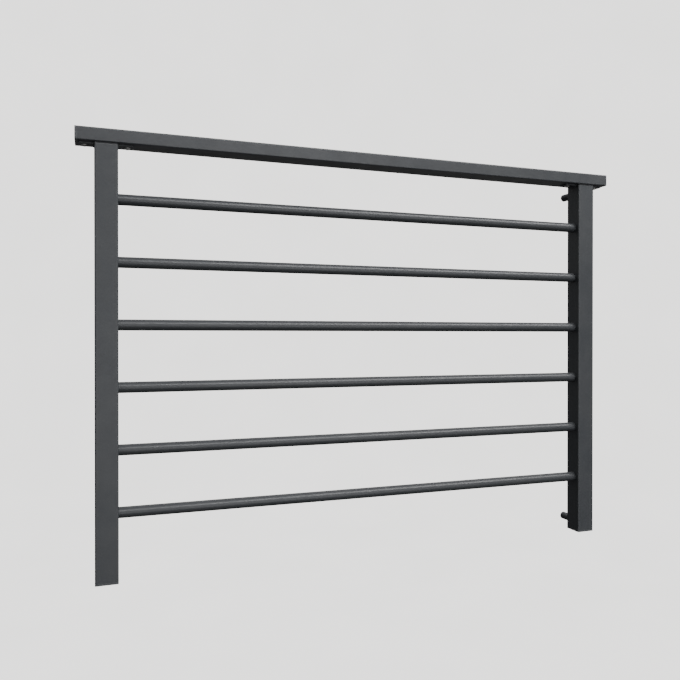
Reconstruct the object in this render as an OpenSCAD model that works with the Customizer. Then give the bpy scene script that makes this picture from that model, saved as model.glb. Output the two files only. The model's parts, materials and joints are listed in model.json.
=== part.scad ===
// Juliet balcony railing of powder-coated steel tube: a flat handrail screwed down on two square
// posts, six horizontal round bars between the posts, and four stand-off sleeves behind the posts
// that slide over studs in the wall and are locked by grub screws.
//
// Frame: X runs along the wall, +Y points into the wall and +Z is up. The wall face is the plane
// Y = 0. The origin is the centre of the lower left sleeve's end face, where it meets the wall.

/* [Overall] */
// Width over the outer faces of the two posts
width = 1320; // [700:1:2400]
// Height from the feet of the posts to the top of the handrail
height = 1000; // [700:1:1300]
// Gap between the wall and the backs of the posts
wall_gap = 50; // [25:1:120]

/* [Posts] */
// Side of the square post tube
post_side = 50; // [40:1:80]
// Wall thickness of the post tube
post_wall = 2; // [1.5:0.5:4]
// Outside corner radius of the post tube
post_corner = 3; // [1:0.5:5]
// Thickness of the plate welded into the foot of each post
foot_plate = 3; // [2:0.5:6]

/* [Handrail] */
// Height of the handrail tube
rail_height = 30; // [20:1:50]
// Depth of the handrail tube, from front to back
rail_depth = 60; // [50:1:100]
// Wall thickness of the handrail tube
rail_wall = 2; // [1.5:0.5:3]
// Outside corner radius of the handrail tube
rail_corner = 3; // [1:0.5:5]
// How far the handrail runs on past each post
rail_overhang = 40; // [36:1:100]
// Thickness of the plate that closes each end of the handrail
rail_cap = 3; // [2:0.5:6]

/* [Bars] */
// Outside diameter of the horizontal bars
bar_diameter = 25; // [16:1:34]
// Wall thickness of the bar tube
bar_wall = 2; // [1:0.5:3]
// Distance from the handrail's underside down to the axis of the top bar
top_bar_drop = 119; // [60:1:150]
// Height of the lowest bar's axis above the feet of the posts
low_bar_rise = 152; // [60:1:180]
// How far each bar end reaches in past the inner face of its post
bar_insert = 14; // [6:1:24]
// Radial clearance of a bar in its hole
bar_clearance = 0.2; // [0.1:0.1:0.5]

/* [Saddles] */
// Thickness of the saddle plate that caps each post
saddle_thickness = 3; // [2:0.5:8]
// Depth of the plate's two ears, from front to back
ear_depth = 30; // [20:1:40]
// How far an ear reaches out past its side of the post
ear_reach = 34; // [28:1:38]
// Distance from a side of the post to the axis of a handrail screw
screw_reach = 20; // [14:1:26]
// Corner radius of the ears
ear_corner = 4; // [1:1:8]

/* [Handrail screws] */
// Diameter of the screw's shank
shank_diameter = 8; // [6:1:10]
// Diameter of the domed head
head_diameter = 14; // [12:1:18]
// Height of the domed head
head_height = 4.4; // [3:0.1:6]
// Length of the shank under the head
shank_length = 16; // [12:1:20]
// Size across the flats of the hexagon socket
socket_flats = 5; // [3:1:6]
// Depth of the hexagon socket
socket_depth = 2.6; // [1:0.1:3]
// Radial clearance of the shank in its holes
shank_clearance = 0.2; // [0.1:0.1:0.5]

/* [Stand-off sleeves] */
// Outside diameter of a sleeve
sleeve_diameter = 20; // [18:1:30]
// Diameter of the bore that slides over the wall stud
stud_bore = 10.5; // [8.5:0.5:13]
// Height of the lower sleeves' axes above the feet of the posts
low_sleeve_rise = 22; // [15:1:80]
// Distance from the handrail's underside down to the upper sleeves' axes
top_sleeve_drop = 20; // [18:1:60]
// Bevel on the outer edge at the wall end of a sleeve
sleeve_bevel = 0.8; // [0.2:0.1:1.5]
// Diameter of the grub screw that locks a sleeve
grub_diameter = 6; // [4:1:8]
// Distance from the wall to the axis of the grub screw
grub_from_wall = 15; // [8:1:18]
// Size across the flats of the grub screw's hexagon socket
grub_flats = 3; // [2:0.5:4]
// Radial clearance of the grub screw in its hole
grub_clearance = 0.1; // [0.05:0.05:0.2]

/* [Hidden] */
BARS = 6;
SIDES = ["left", "right"];
CORNERS = ["low_left", "low_right", "top_left", "top_right"];
SCREWS = ["left_outer", "left_inner", "right_inner", "right_outer"];

COATING = [0.24, 0.26, 0.28];
STEEL = [0.62, 0.63, 0.64];
COATED_STEEL = [0.16, 0.17, 0.18];
$fn = 96;
TURN = 360;
OVERCUT = 1;

// Heights, from the feet of the posts up
foot_z = -low_sleeve_rise;
rail_under_z = foot_z + height - rail_height;
rail_mid_z = rail_under_z + rail_height / 2;
post_top_z = rail_under_z - saddle_thickness;
top_sleeve_z = rail_under_z - top_sleeve_drop;
bar_top_z = rail_under_z - top_bar_drop;
bar_pitch = (bar_top_z - foot_z - low_bar_rise) / (BARS - 1);

// Places along the wall and out from it
post_span = width - post_side;
mid_x = post_span / 2;
post_y = -wall_gap - post_side / 2;
rail_length = width + 2 * rail_overhang;
bar_length = post_span - post_side + 2 * bar_insert;
saddle_length = post_side + 2 * ear_reach;
screw_offset = post_side / 2 + screw_reach;
bar_hole_depth = post_wall + 2 * OVERCUT;
grub_inset = 0.2;
grub_tip = stud_bore / 2 + grub_inset;
grub_end = sleeve_diameter / 2 - grub_inset;
grub_socket_depth = (grub_end - grub_tip) / 2;

function side_x(i) = i * post_span;
function corner_x(i) = side_x(i % 2);
function corner_z(i) = i < 2 ? 0 : top_sleeve_z;
function screw_x(i) = side_x(floor(i / 2)) + (i % 2 == 0 ? -1 : 1) * screw_offset;
function bar_z(i) = bar_top_z - (i - 1) * bar_pitch;

// Rectangle with true round corners
module round_rectangle(size_x, size_y, corner) {
    union() {
        square([size_x - 2 * corner, size_y], center = true);
        square([size_x, size_y - 2 * corner], center = true);
        for (sx = [-1, 1], sy = [-1, 1])
            translate([sx * (size_x / 2 - corner), sy * (size_y / 2 - corner)]) circle(r = corner);
    }
}

// Section of a rectangular tube; its inside corners follow the outside ones
module tube_section(size_x, size_y, wall, corner) {
    difference() {
        round_rectangle(size_x, size_y, corner);
        round_rectangle(size_x - 2 * wall, size_y - 2 * wall, max(corner - wall, wall / 4));
    }
}

module hexagon_prism(flats, depth) {
    cylinder(h = depth, d = flats / cos(30), $fn = 6);
}

// Steel plate that fills a tube's end, flush with its outside
module end_plate(size_x, size_y, thickness, corner) {
    linear_extrude(thickness) round_rectangle(size_x, size_y, corner);
}

module handrail() {
    color(COATING)
    difference() {
        translate([mid_x - rail_length / 2 + rail_cap, post_y, rail_mid_z])
            rotate([90, 0, 90])
            linear_extrude(rail_length - 2 * rail_cap)
            tube_section(rail_depth, rail_height, rail_wall, rail_corner);
        for (i = [0:len(SCREWS) - 1])
            translate([screw_x(i), post_y, rail_under_z - OVERCUT])
                cylinder(h = rail_wall + 2 * OVERCUT, d = shank_diameter + 2 * shank_clearance);
    }
}

module handrail_cap(i) {
    end_x = mid_x - rail_length / 2 + i * (rail_length - rail_cap);
    color(COATING)
    translate([end_x, post_y, rail_mid_z])
        rotate([90, 0, 90])
        end_plate(rail_depth, rail_height, rail_cap, rail_corner);
}

// Plate that closes the head of a post, with a drilled ear on either side for a handrail screw
module saddle_plate(i) {
    color(COATING)
    difference() {
        translate([side_x(i), post_y, post_top_z])
            linear_extrude(saddle_thickness)
            union() {
                round_rectangle(post_side, post_side, post_corner);
                round_rectangle(saddle_length, ear_depth, ear_corner);
            }
        for (s = [-1, 1])
            translate([side_x(i) + s * screw_offset, post_y, post_top_z - OVERCUT])
                cylinder(h = saddle_thickness + 2 * OVERCUT, d = shank_diameter + 2 * shank_clearance);
    }
}

// Button-head screw, driven up through an ear of the saddle plate into the underside of the handrail
module rail_screw(i) {
    dome_radius = (pow(head_diameter / 2, 2) + pow(head_height, 2)) / (2 * head_height);
    color(STEEL)
    translate([screw_x(i), post_y, post_top_z])
    union() {
        difference() {
            intersection() {
                translate([0, 0, -head_height]) cylinder(h = head_height, d = head_diameter);
                translate([0, 0, dome_radius - head_height]) sphere(r = dome_radius);
            }
            translate([0, 0, -head_height - OVERCUT])
                hexagon_prism(socket_flats, socket_depth + OVERCUT);
        }
        cylinder(h = shank_length, d = shank_diameter);
    }
}

module post(i) {
    inner_side = i == 0 ? 1 : -1;
    color(COATING)
    difference() {
        translate([side_x(i), post_y, foot_z + foot_plate])
            linear_extrude(post_top_z - foot_z - foot_plate)
            tube_section(post_side, post_side, post_wall, post_corner);
        for (k = [1:BARS])
            translate([side_x(i) + inner_side * (post_side - post_wall) / 2, post_y, bar_z(k)])
                rotate([0, 90, 0])
                cylinder(h = bar_hole_depth, d = bar_diameter + 2 * bar_clearance, center = true);
    }
}

module post_foot_plate(i) {
    color(COATING)
    translate([side_x(i), post_y, foot_z])
        end_plate(post_side, post_side, foot_plate, post_corner);
}

module bar(i) {
    color(COATING)
    translate([mid_x, post_y, bar_z(i)])
        rotate([0, 90, 0])
        difference() {
            cylinder(h = bar_length, d = bar_diameter, center = true);
            cylinder(h = bar_length + 2 * OVERCUT, d = bar_diameter - 2 * bar_wall, center = true);
        }
}

// Sleeve welded to the back of the post, bored for the wall stud and tapped from below
module standoff_sleeve(i) {
    radius = sleeve_diameter / 2;
    color(COATING)
    translate([corner_x(i), 0, corner_z(i)])
    difference() {
        rotate([90, 0, 0])
            rotate_extrude(angle = TURN)
            polygon([
                [stud_bore / 2, 0],
                [radius - sleeve_bevel, 0],
                [radius, sleeve_bevel],
                [radius, wall_gap],
                [stud_bore / 2, wall_gap]
            ]);
        translate([0, -grub_from_wall, -radius - OVERCUT])
            cylinder(h = radius + OVERCUT, d = grub_diameter + 2 * grub_clearance);
    }
}

// Headless screw in the underside of a sleeve, backed off so that the bore stays free
module grub_screw(i) {
    color(COATED_STEEL)
    translate([corner_x(i), -grub_from_wall, corner_z(i)])
    difference() {
        translate([0, 0, -grub_end]) cylinder(h = grub_end - grub_tip, d = grub_diameter);
        translate([0, 0, -grub_end - OVERCUT])
            hexagon_prism(grub_flats, grub_socket_depth + OVERCUT);
    }
}

handrail();
for (i = [0:1]) handrail_cap(i);
for (i = [0:1]) saddle_plate(i);
for (i = [0:3]) rail_screw(i);
for (i = [0:1]) post(i);
for (i = [0:1]) post_foot_plate(i);
for (i = [1:BARS]) bar(i);
for (i = [0:3]) standoff_sleeve(i);
for (i = [0:3]) grub_screw(i);
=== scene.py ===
"""Juliet balcony railing: finishes, weld beads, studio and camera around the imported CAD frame."""
import json
import math
import random

import bmesh
import bpy
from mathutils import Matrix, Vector


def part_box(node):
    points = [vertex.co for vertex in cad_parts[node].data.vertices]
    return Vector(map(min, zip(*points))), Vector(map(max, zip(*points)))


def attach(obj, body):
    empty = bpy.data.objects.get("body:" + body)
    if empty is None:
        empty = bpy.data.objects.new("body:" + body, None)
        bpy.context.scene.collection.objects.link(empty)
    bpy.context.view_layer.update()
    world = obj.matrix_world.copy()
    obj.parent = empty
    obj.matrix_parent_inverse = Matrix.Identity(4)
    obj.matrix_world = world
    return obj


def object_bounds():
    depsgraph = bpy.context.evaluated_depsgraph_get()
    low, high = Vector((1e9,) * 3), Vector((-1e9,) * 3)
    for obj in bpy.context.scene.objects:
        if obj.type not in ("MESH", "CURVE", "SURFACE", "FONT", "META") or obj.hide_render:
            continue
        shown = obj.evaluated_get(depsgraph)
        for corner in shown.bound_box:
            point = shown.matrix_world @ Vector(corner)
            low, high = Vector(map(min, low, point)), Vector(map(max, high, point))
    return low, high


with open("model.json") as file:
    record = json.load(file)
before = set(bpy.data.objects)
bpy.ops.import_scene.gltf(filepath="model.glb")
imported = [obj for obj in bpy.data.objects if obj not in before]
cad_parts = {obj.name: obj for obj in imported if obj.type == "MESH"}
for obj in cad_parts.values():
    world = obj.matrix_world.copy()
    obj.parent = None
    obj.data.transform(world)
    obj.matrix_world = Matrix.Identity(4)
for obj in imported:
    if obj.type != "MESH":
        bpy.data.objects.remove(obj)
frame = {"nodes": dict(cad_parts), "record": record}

MM = 0.001
SIDES = ("left", "right")
CORNERS = ("low_left", "low_right", "top_left", "top_right")

cad_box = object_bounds()
cad_centre = (cad_box[0] + cad_box[1]) / 2
nodes = frame["nodes"]


def new_object(name, data, place=(0.0, 0.0, 0.0)):
    made = bpy.data.objects.new(name, data)
    made.location = place
    bpy.context.scene.collection.objects.link(made)
    return made


# ---------------------------------------------------------------- node helpers

BEVEL_SAMPLES = 6
BLUE_LEAN = 1.5  # blue moves this many times as far as red, the other way


class Nodes:
    """Adds nodes to a node tree and links them."""

    def __init__(self, tree):
        self.tree = tree
        self.tree.nodes.clear()

    def add(self, kind, **settings):
        node = self.tree.nodes.new(kind)
        for key, value in settings.items():
            setattr(node, key, value)
        return node

    def link(self, source, target):
        self.tree.links.new(source, target)

    def feed(self, socket, value):
        if isinstance(value, bpy.types.NodeSocket):
            self.link(value, socket)
        else:
            socket.default_value = value

    def remap(self, value, low, high, to_low=0.0, to_high=1.0, interpolation="SMOOTHSTEP"):
        """Maps low..high to to_low..to_high and holds the ends."""
        node = self.add("ShaderNodeMapRange", interpolation_type=interpolation)
        self.link(value, node.inputs["Value"])
        node.inputs["From Min"].default_value = low
        node.inputs["From Max"].default_value = high
        node.inputs["To Min"].default_value = to_low
        node.inputs["To Max"].default_value = to_high
        return node.outputs["Result"]

    def times(self, first, second):
        return self.math("MULTIPLY", first, second)

    def math(self, operation, first, second):
        node = self.add("ShaderNodeMath", operation=operation)
        self.feed(node.inputs[0], first)
        self.feed(node.inputs[1], second)
        return node.outputs[0]


class Shader(Nodes):
    """A material with one principled surface, patterned in object coordinates."""

    def __init__(self, name):
        self.material = bpy.data.materials.new(name)
        self.material.use_nodes = True
        super().__init__(self.material.node_tree)
        output = self.add("ShaderNodeOutputMaterial")
        self.surface = self.add("ShaderNodeBsdfPrincipled")
        self.link(self.surface.outputs["BSDF"], output.inputs["Surface"])
        self.place = self.add("ShaderNodeTexCoord").outputs["Object"]
        self.face_normal = self.add("ShaderNodeNewGeometry").outputs["Normal"]

    def scaled(self, stretch):
        """Object coordinates stretched by a factor along each axis."""
        node = self.add("ShaderNodeMapping")
        self.link(self.place, node.inputs["Vector"])
        node.inputs["Scale"].default_value = stretch
        return node.outputs["Vector"]

    def noise(self, scale, detail=2.0, roughness=0.5, stretch=None):
        node = self.add("ShaderNodeTexNoise")
        self.link(self.scaled(stretch) if stretch else self.place, node.inputs["Vector"])
        node.inputs["Scale"].default_value = scale
        node.inputs["Detail"].default_value = detail
        node.inputs["Roughness"].default_value = roughness
        return node.outputs["Fac"]

    def mix(self, factor, first, second):
        node = self.add("ShaderNodeMix", data_type="RGBA")
        self.feed(node.inputs["Factor"], factor)
        self.feed(node.inputs["A"], first)
        self.feed(node.inputs["B"], second)
        return node.outputs["Result"]

    def bevel_normal(self, radius):
        node = self.add("ShaderNodeBevel", samples=BEVEL_SAMPLES)
        node.inputs["Radius"].default_value = radius
        return node.outputs["Normal"]

    def edges(self, radius, low, high):
        """1 where the bevelled normal leans off the face's to a cosine under low, 0 over high."""
        dot = self.add("ShaderNodeVectorMath", operation="DOT_PRODUCT")
        self.link(self.bevel_normal(radius), dot.inputs[0])
        self.link(self.face_normal, dot.inputs[1])
        return self.remap(dot.outputs["Value"], high, low)

    def facing_up(self, low, high):
        """0 where the normal's Z is under low, 1 where it is over high."""
        split = self.add("ShaderNodeSeparateXYZ")
        self.link(self.face_normal, split.inputs[0])
        return self.remap(split.outputs["Z"], low, high)

    def bump(self, layers, round_edges):
        """Stacks (height, distance, strength) layers on edges rounded by a radius."""
        normal = self.bevel_normal(round_edges)
        for height, distance, strength in layers:
            node = self.add("ShaderNodeBump")
            node.inputs["Distance"].default_value = distance
            node.inputs["Strength"].default_value = strength
            self.link(height, node.inputs["Height"])
            self.link(normal, node.inputs["Normal"])
            normal = node.outputs["Normal"]
        self.link(normal, self.surface.inputs["Normal"])


def grey(value, warmth=0.0):
    """Linear grey, bluish where warmth is negative."""
    return (value * (1 + warmth), value, value * (1 - BLUE_LEAN * warmth), 1.0)


# ---------------------------------------------------------------- finishes
# Noise scales are per metre. A RANGE is the part of a noise or mask that is used, a SHARE is
# how much of a layer shows, and WAVE, PEEL and GRAIN are bumps: (height, strength).

CORE_RANGE = (0.3, 0.7)  # where most of a noise's values lie

COAT_TONE = 0.0485
COAT_COOLNESS = -0.08
MOTTLE_DARK, MOTTLE_LIGHT = COAT_TONE * 0.93, COAT_TONE * 1.07
MOTTLE_LIGHT_COOLNESS = COAT_COOLNESS * 0.7
SPECKLE_RANGE = (0.52, 0.75)
SPECKLE_TONE = COAT_TONE * 1.35
SPECKLE_SHARE = 0.55
STREAK_STRETCH = (60.0, 60.0, 2.0)
STREAK_RANGE = (0.55, 0.8)
STREAK_TONE = COAT_TONE * 1.25
STREAK_SHARE = 0.2
DUST_SLOPE_RANGE = (0.55, 0.98)
DUST_PATCH_RANGE = (0.3, 0.75)
DUST_AMOUNT = (0.03, 0.14)
DUST_TONE = 0.16
DUST_WARMTH = 0.06
DUST_ROUGHENING = 0.5
# Paler coat edges: partly rubbed wear, partly a painted highlight along the tube corners.
WEAR_AND_HIGHLIGHT_RADIUS = 4.5 * MM
WEAR_AND_HIGHLIGHT_RANGE = (0.92, 0.995)
EDGE_PATCH_RANGE = (0.25, 0.7)
EDGE_PATCH_AMOUNT = (0.35, 0.9)
WEAR_AND_HIGHLIGHT_TONE = COAT_TONE * 2.3
WEAR_AND_HIGHLIGHT_COOLNESS = COAT_COOLNESS * 0.5
WEAR_AND_HIGHLIGHT_SHARE = 0.7
COAT_ROUGHNESS = (0.35, 0.44)
COAT_WAVE = (0.9 * MM, 0.35)
COAT_PEEL = (0.08 * MM, 0.7)
COAT_GRAIN = (0.02 * MM, 0.6)
COAT_EDGE_RADIUS = 0.7 * MM

STEEL_WEAR_RANGE = (0.8, 0.99)

SCREW_TONE_RANGE = (0.35, 0.7)
SCREW_DARK, SCREW_LIGHT, SCREW_EDGE_TONE = 0.66, 0.80, 0.9
SCREW_WARMTH = 0.01
SCREW_EDGE_SHARE = 0.4
SCREW_WEAR_RADIUS = 0.7 * MM
SCREW_ROUGHNESS = (0.34, 0.52)
SCREW_GRAIN = (0.01 * MM, 0.6)
SCREW_EDGE_RADIUS = 0.25 * MM

GRUB_TONE_RANGE = (0.4, 0.75)
GRUB_DARK, GRUB_LIGHT, GRUB_EDGE_TONE = 0.018, 0.045, 0.22
GRUB_WARMTH = 0.03
GRUB_METALLIC = 0.6
GRUB_EDGE_SHARE = 0.6
GRUB_WEAR_RADIUS = 0.5 * MM
GRUB_ROUGHNESS = (0.28, 0.46)
GRUB_GRAIN = (0.015 * MM, 0.6)
GRUB_EDGE_RADIUS = 0.2 * MM


def powder_coat():
    """Satin anthracite powder coat: orange peel, faint mottling, dust on top, and paler edges that
    are partly wear and partly a painted highlight.
    """
    s = Shader("powder_coat_anthracite")
    mottle = s.remap(s.noise(9.0, detail=4.0, roughness=0.6), *CORE_RANGE)
    tone = s.mix(mottle, grey(MOTTLE_DARK, COAT_COOLNESS),
                 grey(MOTTLE_LIGHT, MOTTLE_LIGHT_COOLNESS))
    speckle = s.remap(s.noise(420.0, detail=2.0), *SPECKLE_RANGE)
    tone = s.mix(s.times(speckle, SPECKLE_SHARE), tone, grey(SPECKLE_TONE, COAT_COOLNESS))
    streaks = s.remap(s.noise(3.0, detail=3.0, stretch=STREAK_STRETCH), *STREAK_RANGE)
    tone = s.mix(s.times(streaks, STREAK_SHARE), tone, grey(STREAK_TONE))
    patches = s.remap(s.noise(55.0, detail=5.0, roughness=0.65), *DUST_PATCH_RANGE, *DUST_AMOUNT)
    dust = s.times(s.facing_up(*DUST_SLOPE_RANGE), patches)
    tone = s.mix(dust, tone, grey(DUST_TONE, DUST_WARMTH))
    # The paler edges are partly wear and partly a painted highlight along the corners.
    edge_patches = s.remap(s.noise(130.0, detail=4.0, roughness=0.7), *EDGE_PATCH_RANGE, *EDGE_PATCH_AMOUNT)
    edge_mask = s.times(s.edges(WEAR_AND_HIGHLIGHT_RADIUS, *WEAR_AND_HIGHLIGHT_RANGE), edge_patches)
    tone = s.mix(s.times(edge_mask, WEAR_AND_HIGHLIGHT_SHARE), tone, grey(WEAR_AND_HIGHLIGHT_TONE, WEAR_AND_HIGHLIGHT_COOLNESS))
    s.link(tone, s.surface.inputs["Base Color"])
    satin = s.remap(s.noise(24.0, detail=4.0, roughness=0.6), *CORE_RANGE, *COAT_ROUGHNESS)
    s.link(s.math("ADD", satin, s.times(dust, DUST_ROUGHENING)), s.surface.inputs["Roughness"])
    s.bump([
        (s.noise(6.0, detail=1.0), *COAT_WAVE),
        (s.noise(620.0, detail=1.5), *COAT_PEEL),
        (s.noise(2600.0, detail=1.0), *COAT_GRAIN),
    ], COAT_EDGE_RADIUS)
    return s.material


def stainless():
    """Stainless steel of the handrail screws, with fine grain and handling marks."""
    s = Shader("stainless_screw")
    smudge = s.noise(300.0, detail=4.0, roughness=0.6)
    tone = s.mix(s.remap(smudge, *SCREW_TONE_RANGE), grey(SCREW_DARK, SCREW_WARMTH),
                 grey(SCREW_LIGHT, SCREW_WARMTH))
    edge_mask = s.edges(SCREW_WEAR_RADIUS, *STEEL_WEAR_RANGE)
    tone = s.mix(s.times(edge_mask, SCREW_EDGE_SHARE), tone, grey(SCREW_EDGE_TONE))
    s.link(tone, s.surface.inputs["Base Color"])
    s.surface.inputs["Metallic"].default_value = 1.0
    s.link(s.remap(smudge, *CORE_RANGE, *SCREW_ROUGHNESS), s.surface.inputs["Roughness"])
    s.bump([(s.noise(900.0, detail=2.0), *SCREW_GRAIN)], SCREW_EDGE_RADIUS)
    return s.material


def black_steel():
    """Blackened steel of the grub screws."""
    s = Shader("blackened_grub_screw")
    rub = s.noise(800.0, detail=3.0, roughness=0.65)
    tone = s.mix(s.remap(rub, *GRUB_TONE_RANGE), grey(GRUB_DARK), grey(GRUB_LIGHT, GRUB_WARMTH))
    edge_mask = s.edges(GRUB_WEAR_RADIUS, *STEEL_WEAR_RANGE)
    tone = s.mix(s.times(edge_mask, GRUB_EDGE_SHARE), tone, grey(GRUB_EDGE_TONE, GRUB_WARMTH))
    s.link(tone, s.surface.inputs["Base Color"])
    s.surface.inputs["Metallic"].default_value = GRUB_METALLIC
    s.link(s.remap(rub, *CORE_RANGE, *GRUB_ROUGHNESS), s.surface.inputs["Roughness"])
    s.bump([(rub, *GRUB_GRAIN)], GRUB_EDGE_RADIUS)
    return s.material


FINISHES = {
    "powder_coat": powder_coat(),
    "stainless": stainless(),
    "black_steel": black_steel(),
}


def finish_cad_nodes():
    for part in frame["record"]["subparts"]:
        for slot in nodes[part["node"]].material_slots:
            slot.material = FINISHES[part["material_slot"]]


# ---------------------------------------------------------------- weld beads

BEAD_RINGS_PER_RIPPLE = 6
BEAD_ARC_POINTS = 7
BEAD_BELLY = 0.10  # swell of the fillet's face, as a share of its leg
RIPPLE = 2.4 * MM
FEWEST_RIPPLES = 4
RIPPLE_WOBBLE = 0.07  # a ripple's random change of size, either way
RIPPLE_DIP = 0.10  # how much a ripple shrinks along its length
RIPPLE_SHARPNESS = 1.5
END_SIZE = 0.35  # of an open bead's ends, as a share of its full size
END_RUN = 1.6  # an open bead reaches full size over about this many legs
SLEEVE_WELD_LEG = 3.2 * MM
SADDLE_WELD_LEG = 3.0 * MM
EAR_DEPTH = 30 * MM  # of the saddle plate's ears, along the side of the post
EAR_MARGIN = 1.5 * MM  # from each end of the ear to the bead
SLEEVE_WELD_SEED = 10
SADDLE_WELD_SEED = 20


def bead_section(corner, along_a, along_b, leg):
    """The corner between two faces, and the points of a convex fillet across it."""
    points = [corner]
    for k in range(BEAD_ARC_POINTS):
        t = k / (BEAD_ARC_POINTS - 1)
        swell = leg * BEAD_BELLY * math.sin(math.pi * t)
        points.append(corner + along_a * (leg * (1 - t) + swell) + along_b * (leg * t + swell))
    return points


def bead_faces(rings, count, closed):
    """Faces between the sections, which a closed bead joins last to first and an open one caps."""
    per_ring = BEAD_ARC_POINTS + 1
    faces = []
    for i in range(rings):
        a, b = i * per_ring, ((i + 1) % count) * per_ring
        for k in range(per_ring):
            n = (k + 1) % per_ring
            faces.append((a + k, a + n, b + n, b + k))
    if not closed:
        last = rings * per_ring
        faces.append(tuple(range(per_ring))[::-1])
        faces.append(tuple(last + k for k in range(per_ring)))
    return faces


def orient_outwards(mesh):
    work = bmesh.new()
    work.from_mesh(mesh)
    bmesh.ops.recalc_face_normals(work, faces=work.faces)
    work.to_mesh(mesh)
    work.free()


def weld_bead(name, spine, length, leg, seed, closed):
    """A rippled fillet along spine(t), which gives a corner and two directions for t in 0..1."""
    rng = random.Random(seed)
    ripples = max(FEWEST_RIPPLES, round(length / RIPPLE))
    rings = ripples * BEAD_RINGS_PER_RIPPLE
    count = rings if closed else rings + 1
    wobble = [rng.uniform(-RIPPLE_WOBBLE, RIPPLE_WOBBLE) for _ in range(ripples + 1)]
    if closed:
        wobble[-1] = wobble[0]
    vertices = []
    for i in range(count):
        t = i / rings
        ripple, phase = divmod(t * ripples, 1.0)
        before, after = wobble[int(ripple) % ripples], wobble[min(int(ripple) + 1, ripples)]
        blend = before * (1 - phase) + after * phase
        crest = 1 - RIPPLE_DIP * phase ** RIPPLE_SHARPNESS
        size = leg * (crest + blend)
        if not closed:
            end = min(t, 1 - t) * length
            size *= min(1.0, END_SIZE + end / (END_RUN * leg))
        vertices.extend(bead_section(*spine(t), size))
    mesh = bpy.data.meshes.new(name)
    mesh.from_pydata([tuple(v) for v in vertices], [], bead_faces(rings, count, closed))
    mesh.update()
    orient_outwards(mesh)
    for polygon in mesh.polygons:
        polygon.use_smooth = True
    mesh.materials.append(FINISHES["powder_coat"])
    bead = new_object(name, mesh)
    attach(bead, "root")


def sleeve_weld(corner_name, seed):
    """Ring of weld where a stand-off sleeve meets the back of its post."""
    low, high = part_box(f"standoff_sleeve_{corner_name}")
    centre = Vector(((low.x + high.x) / 2, low.y, (low.z + high.z) / 2))
    radius = (high.x - low.x) / 2

    def spine(t):
        angle = 2 * math.pi * t
        out = Vector((math.cos(angle), 0, math.sin(angle)))
        return centre + out * radius, out, Vector((0, 1, 0))

    weld_bead(f"weld_sleeve_{corner_name}", spine, 2 * math.pi * radius, SLEEVE_WELD_LEG, seed,
              closed=True)


def saddle_weld(side, direction, seed):
    """Straight weld under an ear of the saddle plate, along the side of the post."""
    low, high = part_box(f"post_{side}")
    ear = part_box(f"saddle_plate_{side}")
    middle = (low.y + high.y) / 2
    half = EAR_DEPTH / 2 - EAR_MARGIN
    face = high.x if direction > 0 else low.x
    under = ear[0].z

    def spine(t):
        corner = Vector((face, middle + half * (2 * t - 1), under))
        return corner, Vector((direction, 0, 0)), Vector((0, 0, -1))

    hand = "right" if direction > 0 else "left"
    weld_bead(f"weld_saddle_{side}_{hand}", spine, 2 * half, SADDLE_WELD_LEG, seed, closed=False)


def add_welds():
    for step, corner_name in enumerate(CORNERS):
        sleeve_weld(corner_name, SLEEVE_WELD_SEED + step)
    for step, side in enumerate(SIDES):
        saddle_weld(side, -1, SADDLE_WELD_SEED + 2 * step)
        saddle_weld(side, 1, SADDLE_WELD_SEED + 2 * step + 1)


# ---------------------------------------------------------------- studio and camera

FLOOR_DROP = 1.6
FLOOR_RINGS = (2.0, 4.0)
BOWL_RADIUS = 9.0
BOWL_CURVE = 3.0
BOWL_HEIGHT = 9.0
BOWL_STEPS = 16
BOWL_SECTORS = 96
BOWL_GLOW = 2.9
BOWL_DARK, BOWL_LIGHT, BOWL_WARMTH = 0.70, 0.72, 0.01
BOWL_BASE_TONE = 0.02
BOWL_ROUGHNESS = 0.9


def bowl_profile():
    """(radius, height) of the floor, the curve up, the wall and the curve in to the closed top."""
    flat = BOWL_RADIUS - BOWL_CURVE
    rise = BOWL_HEIGHT - BOWL_CURVE
    profile = [(radius, 0.0) for radius in (*FLOOR_RINGS, flat)]
    turns = [math.pi / 2 * k / BOWL_STEPS for k in range(1, BOWL_STEPS + 1)]
    for angle in turns:
        profile.append((flat + BOWL_CURVE * math.sin(angle), BOWL_CURVE * (1 - math.cos(angle))))
    profile.append((BOWL_RADIUS, rise))
    for angle in turns:
        profile.append((flat + BOWL_CURVE * math.cos(angle), rise + BOWL_CURVE * math.sin(angle)))
    return profile


def bowl_mesh():
    profile = bowl_profile()
    floor_z = cad_box[0].z - FLOOR_DROP
    vertices = [(cad_centre.x, cad_centre.y, floor_z)]
    for radius, height in profile:
        for i in range(BOWL_SECTORS):
            angle = 2 * math.pi * i / BOWL_SECTORS
            vertices.append((cad_centre.x + radius * math.cos(angle),
                             cad_centre.y + radius * math.sin(angle), floor_z + height))
    top = len(vertices)
    vertices.append((cad_centre.x, cad_centre.y, floor_z + BOWL_HEIGHT))
    starts = [1 + row * BOWL_SECTORS for row in range(len(profile))]
    faces = []
    for i in range(BOWL_SECTORS):
        n = (i + 1) % BOWL_SECTORS
        faces.append((0, starts[0] + i, starts[0] + n))
        for a, b in zip(starts, starts[1:]):
            faces.append((a + i, b + i, b + n, a + n))
        faces.append((starts[-1] + i, top, starts[-1] + n))
    mesh = bpy.data.meshes.new("studio_floor")
    mesh.from_pydata(vertices, [], faces)
    for polygon in mesh.polygons:
        polygon.use_smooth = True
    return mesh


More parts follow.
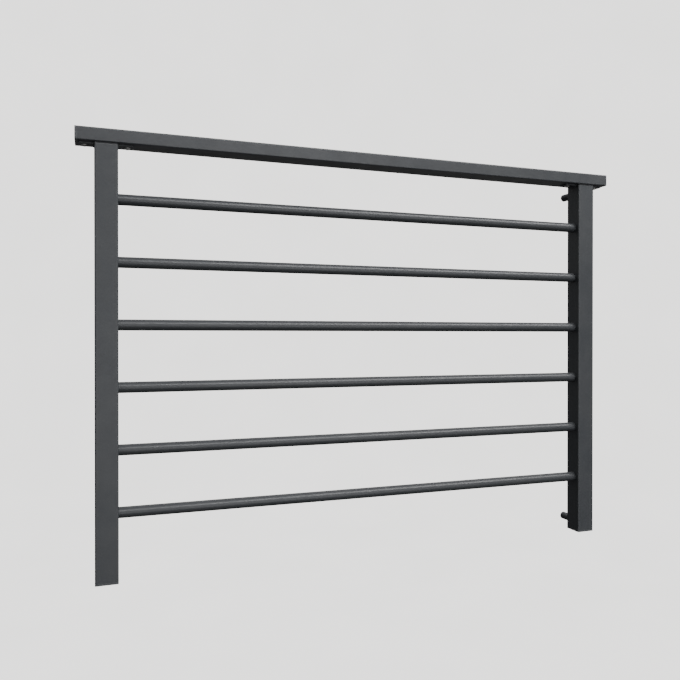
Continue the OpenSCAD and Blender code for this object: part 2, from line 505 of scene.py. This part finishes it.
def pale_floor():
    """The backdrop glows evenly, so it looks the same from every side and takes no shadows."""
    s = Shader("studio_floor_pale")
    tone = s.mix(s.remap(s.noise(1.2, detail=2.0), *CORE_RANGE), grey(BOWL_DARK, BOWL_WARMTH),
                 grey(BOWL_LIGHT, BOWL_WARMTH))
    s.surface.inputs["Base Color"].default_value = grey(BOWL_BASE_TONE)
    s.surface.inputs["Roughness"].default_value = BOWL_ROUGHNESS
    s.surface.inputs["Specular IOR Level"].default_value = 0.0
    s.link(tone, s.surface.inputs["Emission Color"])
    s.surface.inputs["Emission Strength"].default_value = BOWL_GLOW
    return s.material


def studio_bowl():
    """A pale floor that curves up all round and closes on top. It doesn't light the railing."""
    floor = new_object("studio_floor", bowl_mesh())
    floor.data.materials.append(pale_floor())
    floor.visible_diffuse = False
    floor.visible_glossy = False
    floor.visible_shadow = False


# (sine of the elevation, brightness) from straight below to straight above
SKY_STEPS = ((-1.0, 0.11), (-0.45, 0.14), (-0.10, 0.19), (0.06, 0.42), (0.50, 0.80), (1.0, 0.70))
SKY_STRENGTH = 0.8
LEFT_SHADE = 0.6
LEFT_SHADE_RANGE = (-0.7, 0.1)
BACK_SHADE = 0.75
BACK_SHADE_RANGE = (-0.2, 0.7)


def studio_world():
    """Soft light, mostly from above, in front and from the right, with little from below."""
    world = bpy.data.worlds.new("studio_world")
    bpy.context.scene.world = world
    world.use_nodes = True
    sky = Nodes(world.node_tree)
    split = sky.add("ShaderNodeSeparateXYZ")
    sky.link(sky.add("ShaderNodeTexCoord").outputs["Generated"], split.inputs[0])
    ramp = sky.add("ShaderNodeValToRGB")
    sky.link(sky.remap(split.outputs["Z"], -1.0, 1.0, interpolation="LINEAR"), ramp.inputs["Fac"])
    while len(ramp.color_ramp.elements) < len(SKY_STEPS):
        ramp.color_ramp.elements.new(0.5)
    for element, (sine, value) in zip(ramp.color_ramp.elements, SKY_STEPS):
        element.position = (sine + 1) / 2
        element.color = (value, value, value, 1.0)
    sideways = sky.remap(split.outputs["X"], *LEFT_SHADE_RANGE, to_low=LEFT_SHADE, to_high=1.0)
    depthways = sky.remap(split.outputs["Y"], *BACK_SHADE_RANGE, to_low=1.0, to_high=BACK_SHADE)
    background = sky.add("ShaderNodeBackground")
    sky.link(ramp.outputs["Color"], background.inputs["Color"])
    sky.link(sky.times(sky.times(sideways, depthways), SKY_STRENGTH), background.inputs["Strength"])
    output = sky.add("ShaderNodeOutputWorld")
    sky.link(background.outputs[0], output.inputs["Surface"])


# name, place from the centre of the railing, size, watts, whether it shows in reflections
SOFTBOXES = (
    ("softbox_key", (1.7, -2.8, 3.2), (5.2, 1.25), 222, True),
    ("softbox_front", (0.8, -4.6, -0.6), (3.4, 2.8), 54, True),
    ("softbox_back", (1.2, 3.2, 2.7), (3.4, 1.8), 210, False),
)


def studio_lights():
    for name, offset, size, power, gloss in SOFTBOXES:
        light = bpy.data.lights.new(name, "AREA")
        light.shape = "RECTANGLE"
        light.size, light.size_y = size
        light.energy = power
        lamp = new_object(name, light, cad_centre + Vector(offset))
        lamp.rotation_euler = (-Vector(offset)).to_track_quat("-Z", "Y").to_euler()
        lamp.visible_camera = False
        lamp.visible_glossy = gloss


# The camera stands in front of the left post, a little above mid height, and looks to the right
CAMERA_OFFSET = Vector((0.0040, -1.5982, -0.4544))
CAMERA_YAW = 19.38
CAMERA_PITCH = -0.289
CAMERA_LENS = 36.67
CAMERA_SENSOR = 36.0
CAMERA_NEAR = 0.05


def add_camera():
    post_low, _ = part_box("post_left")
    _, rail_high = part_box("handrail")
    data = bpy.data.cameras.new("camera")
    data.lens = CAMERA_LENS
    data.sensor_width = CAMERA_SENSOR
    data.clip_start = CAMERA_NEAR
    place = Vector((post_low.x, post_low.y, rail_high.z)) + CAMERA_OFFSET
    camera = new_object("camera", data, place)
    camera.rotation_euler = (math.radians(90 + CAMERA_PITCH), 0.0, math.radians(-CAMERA_YAW))
    bpy.context.scene.camera = camera


add_camera()
finish_cad_nodes()
add_welds()
studio_bowl()
studio_world()
studio_lights()
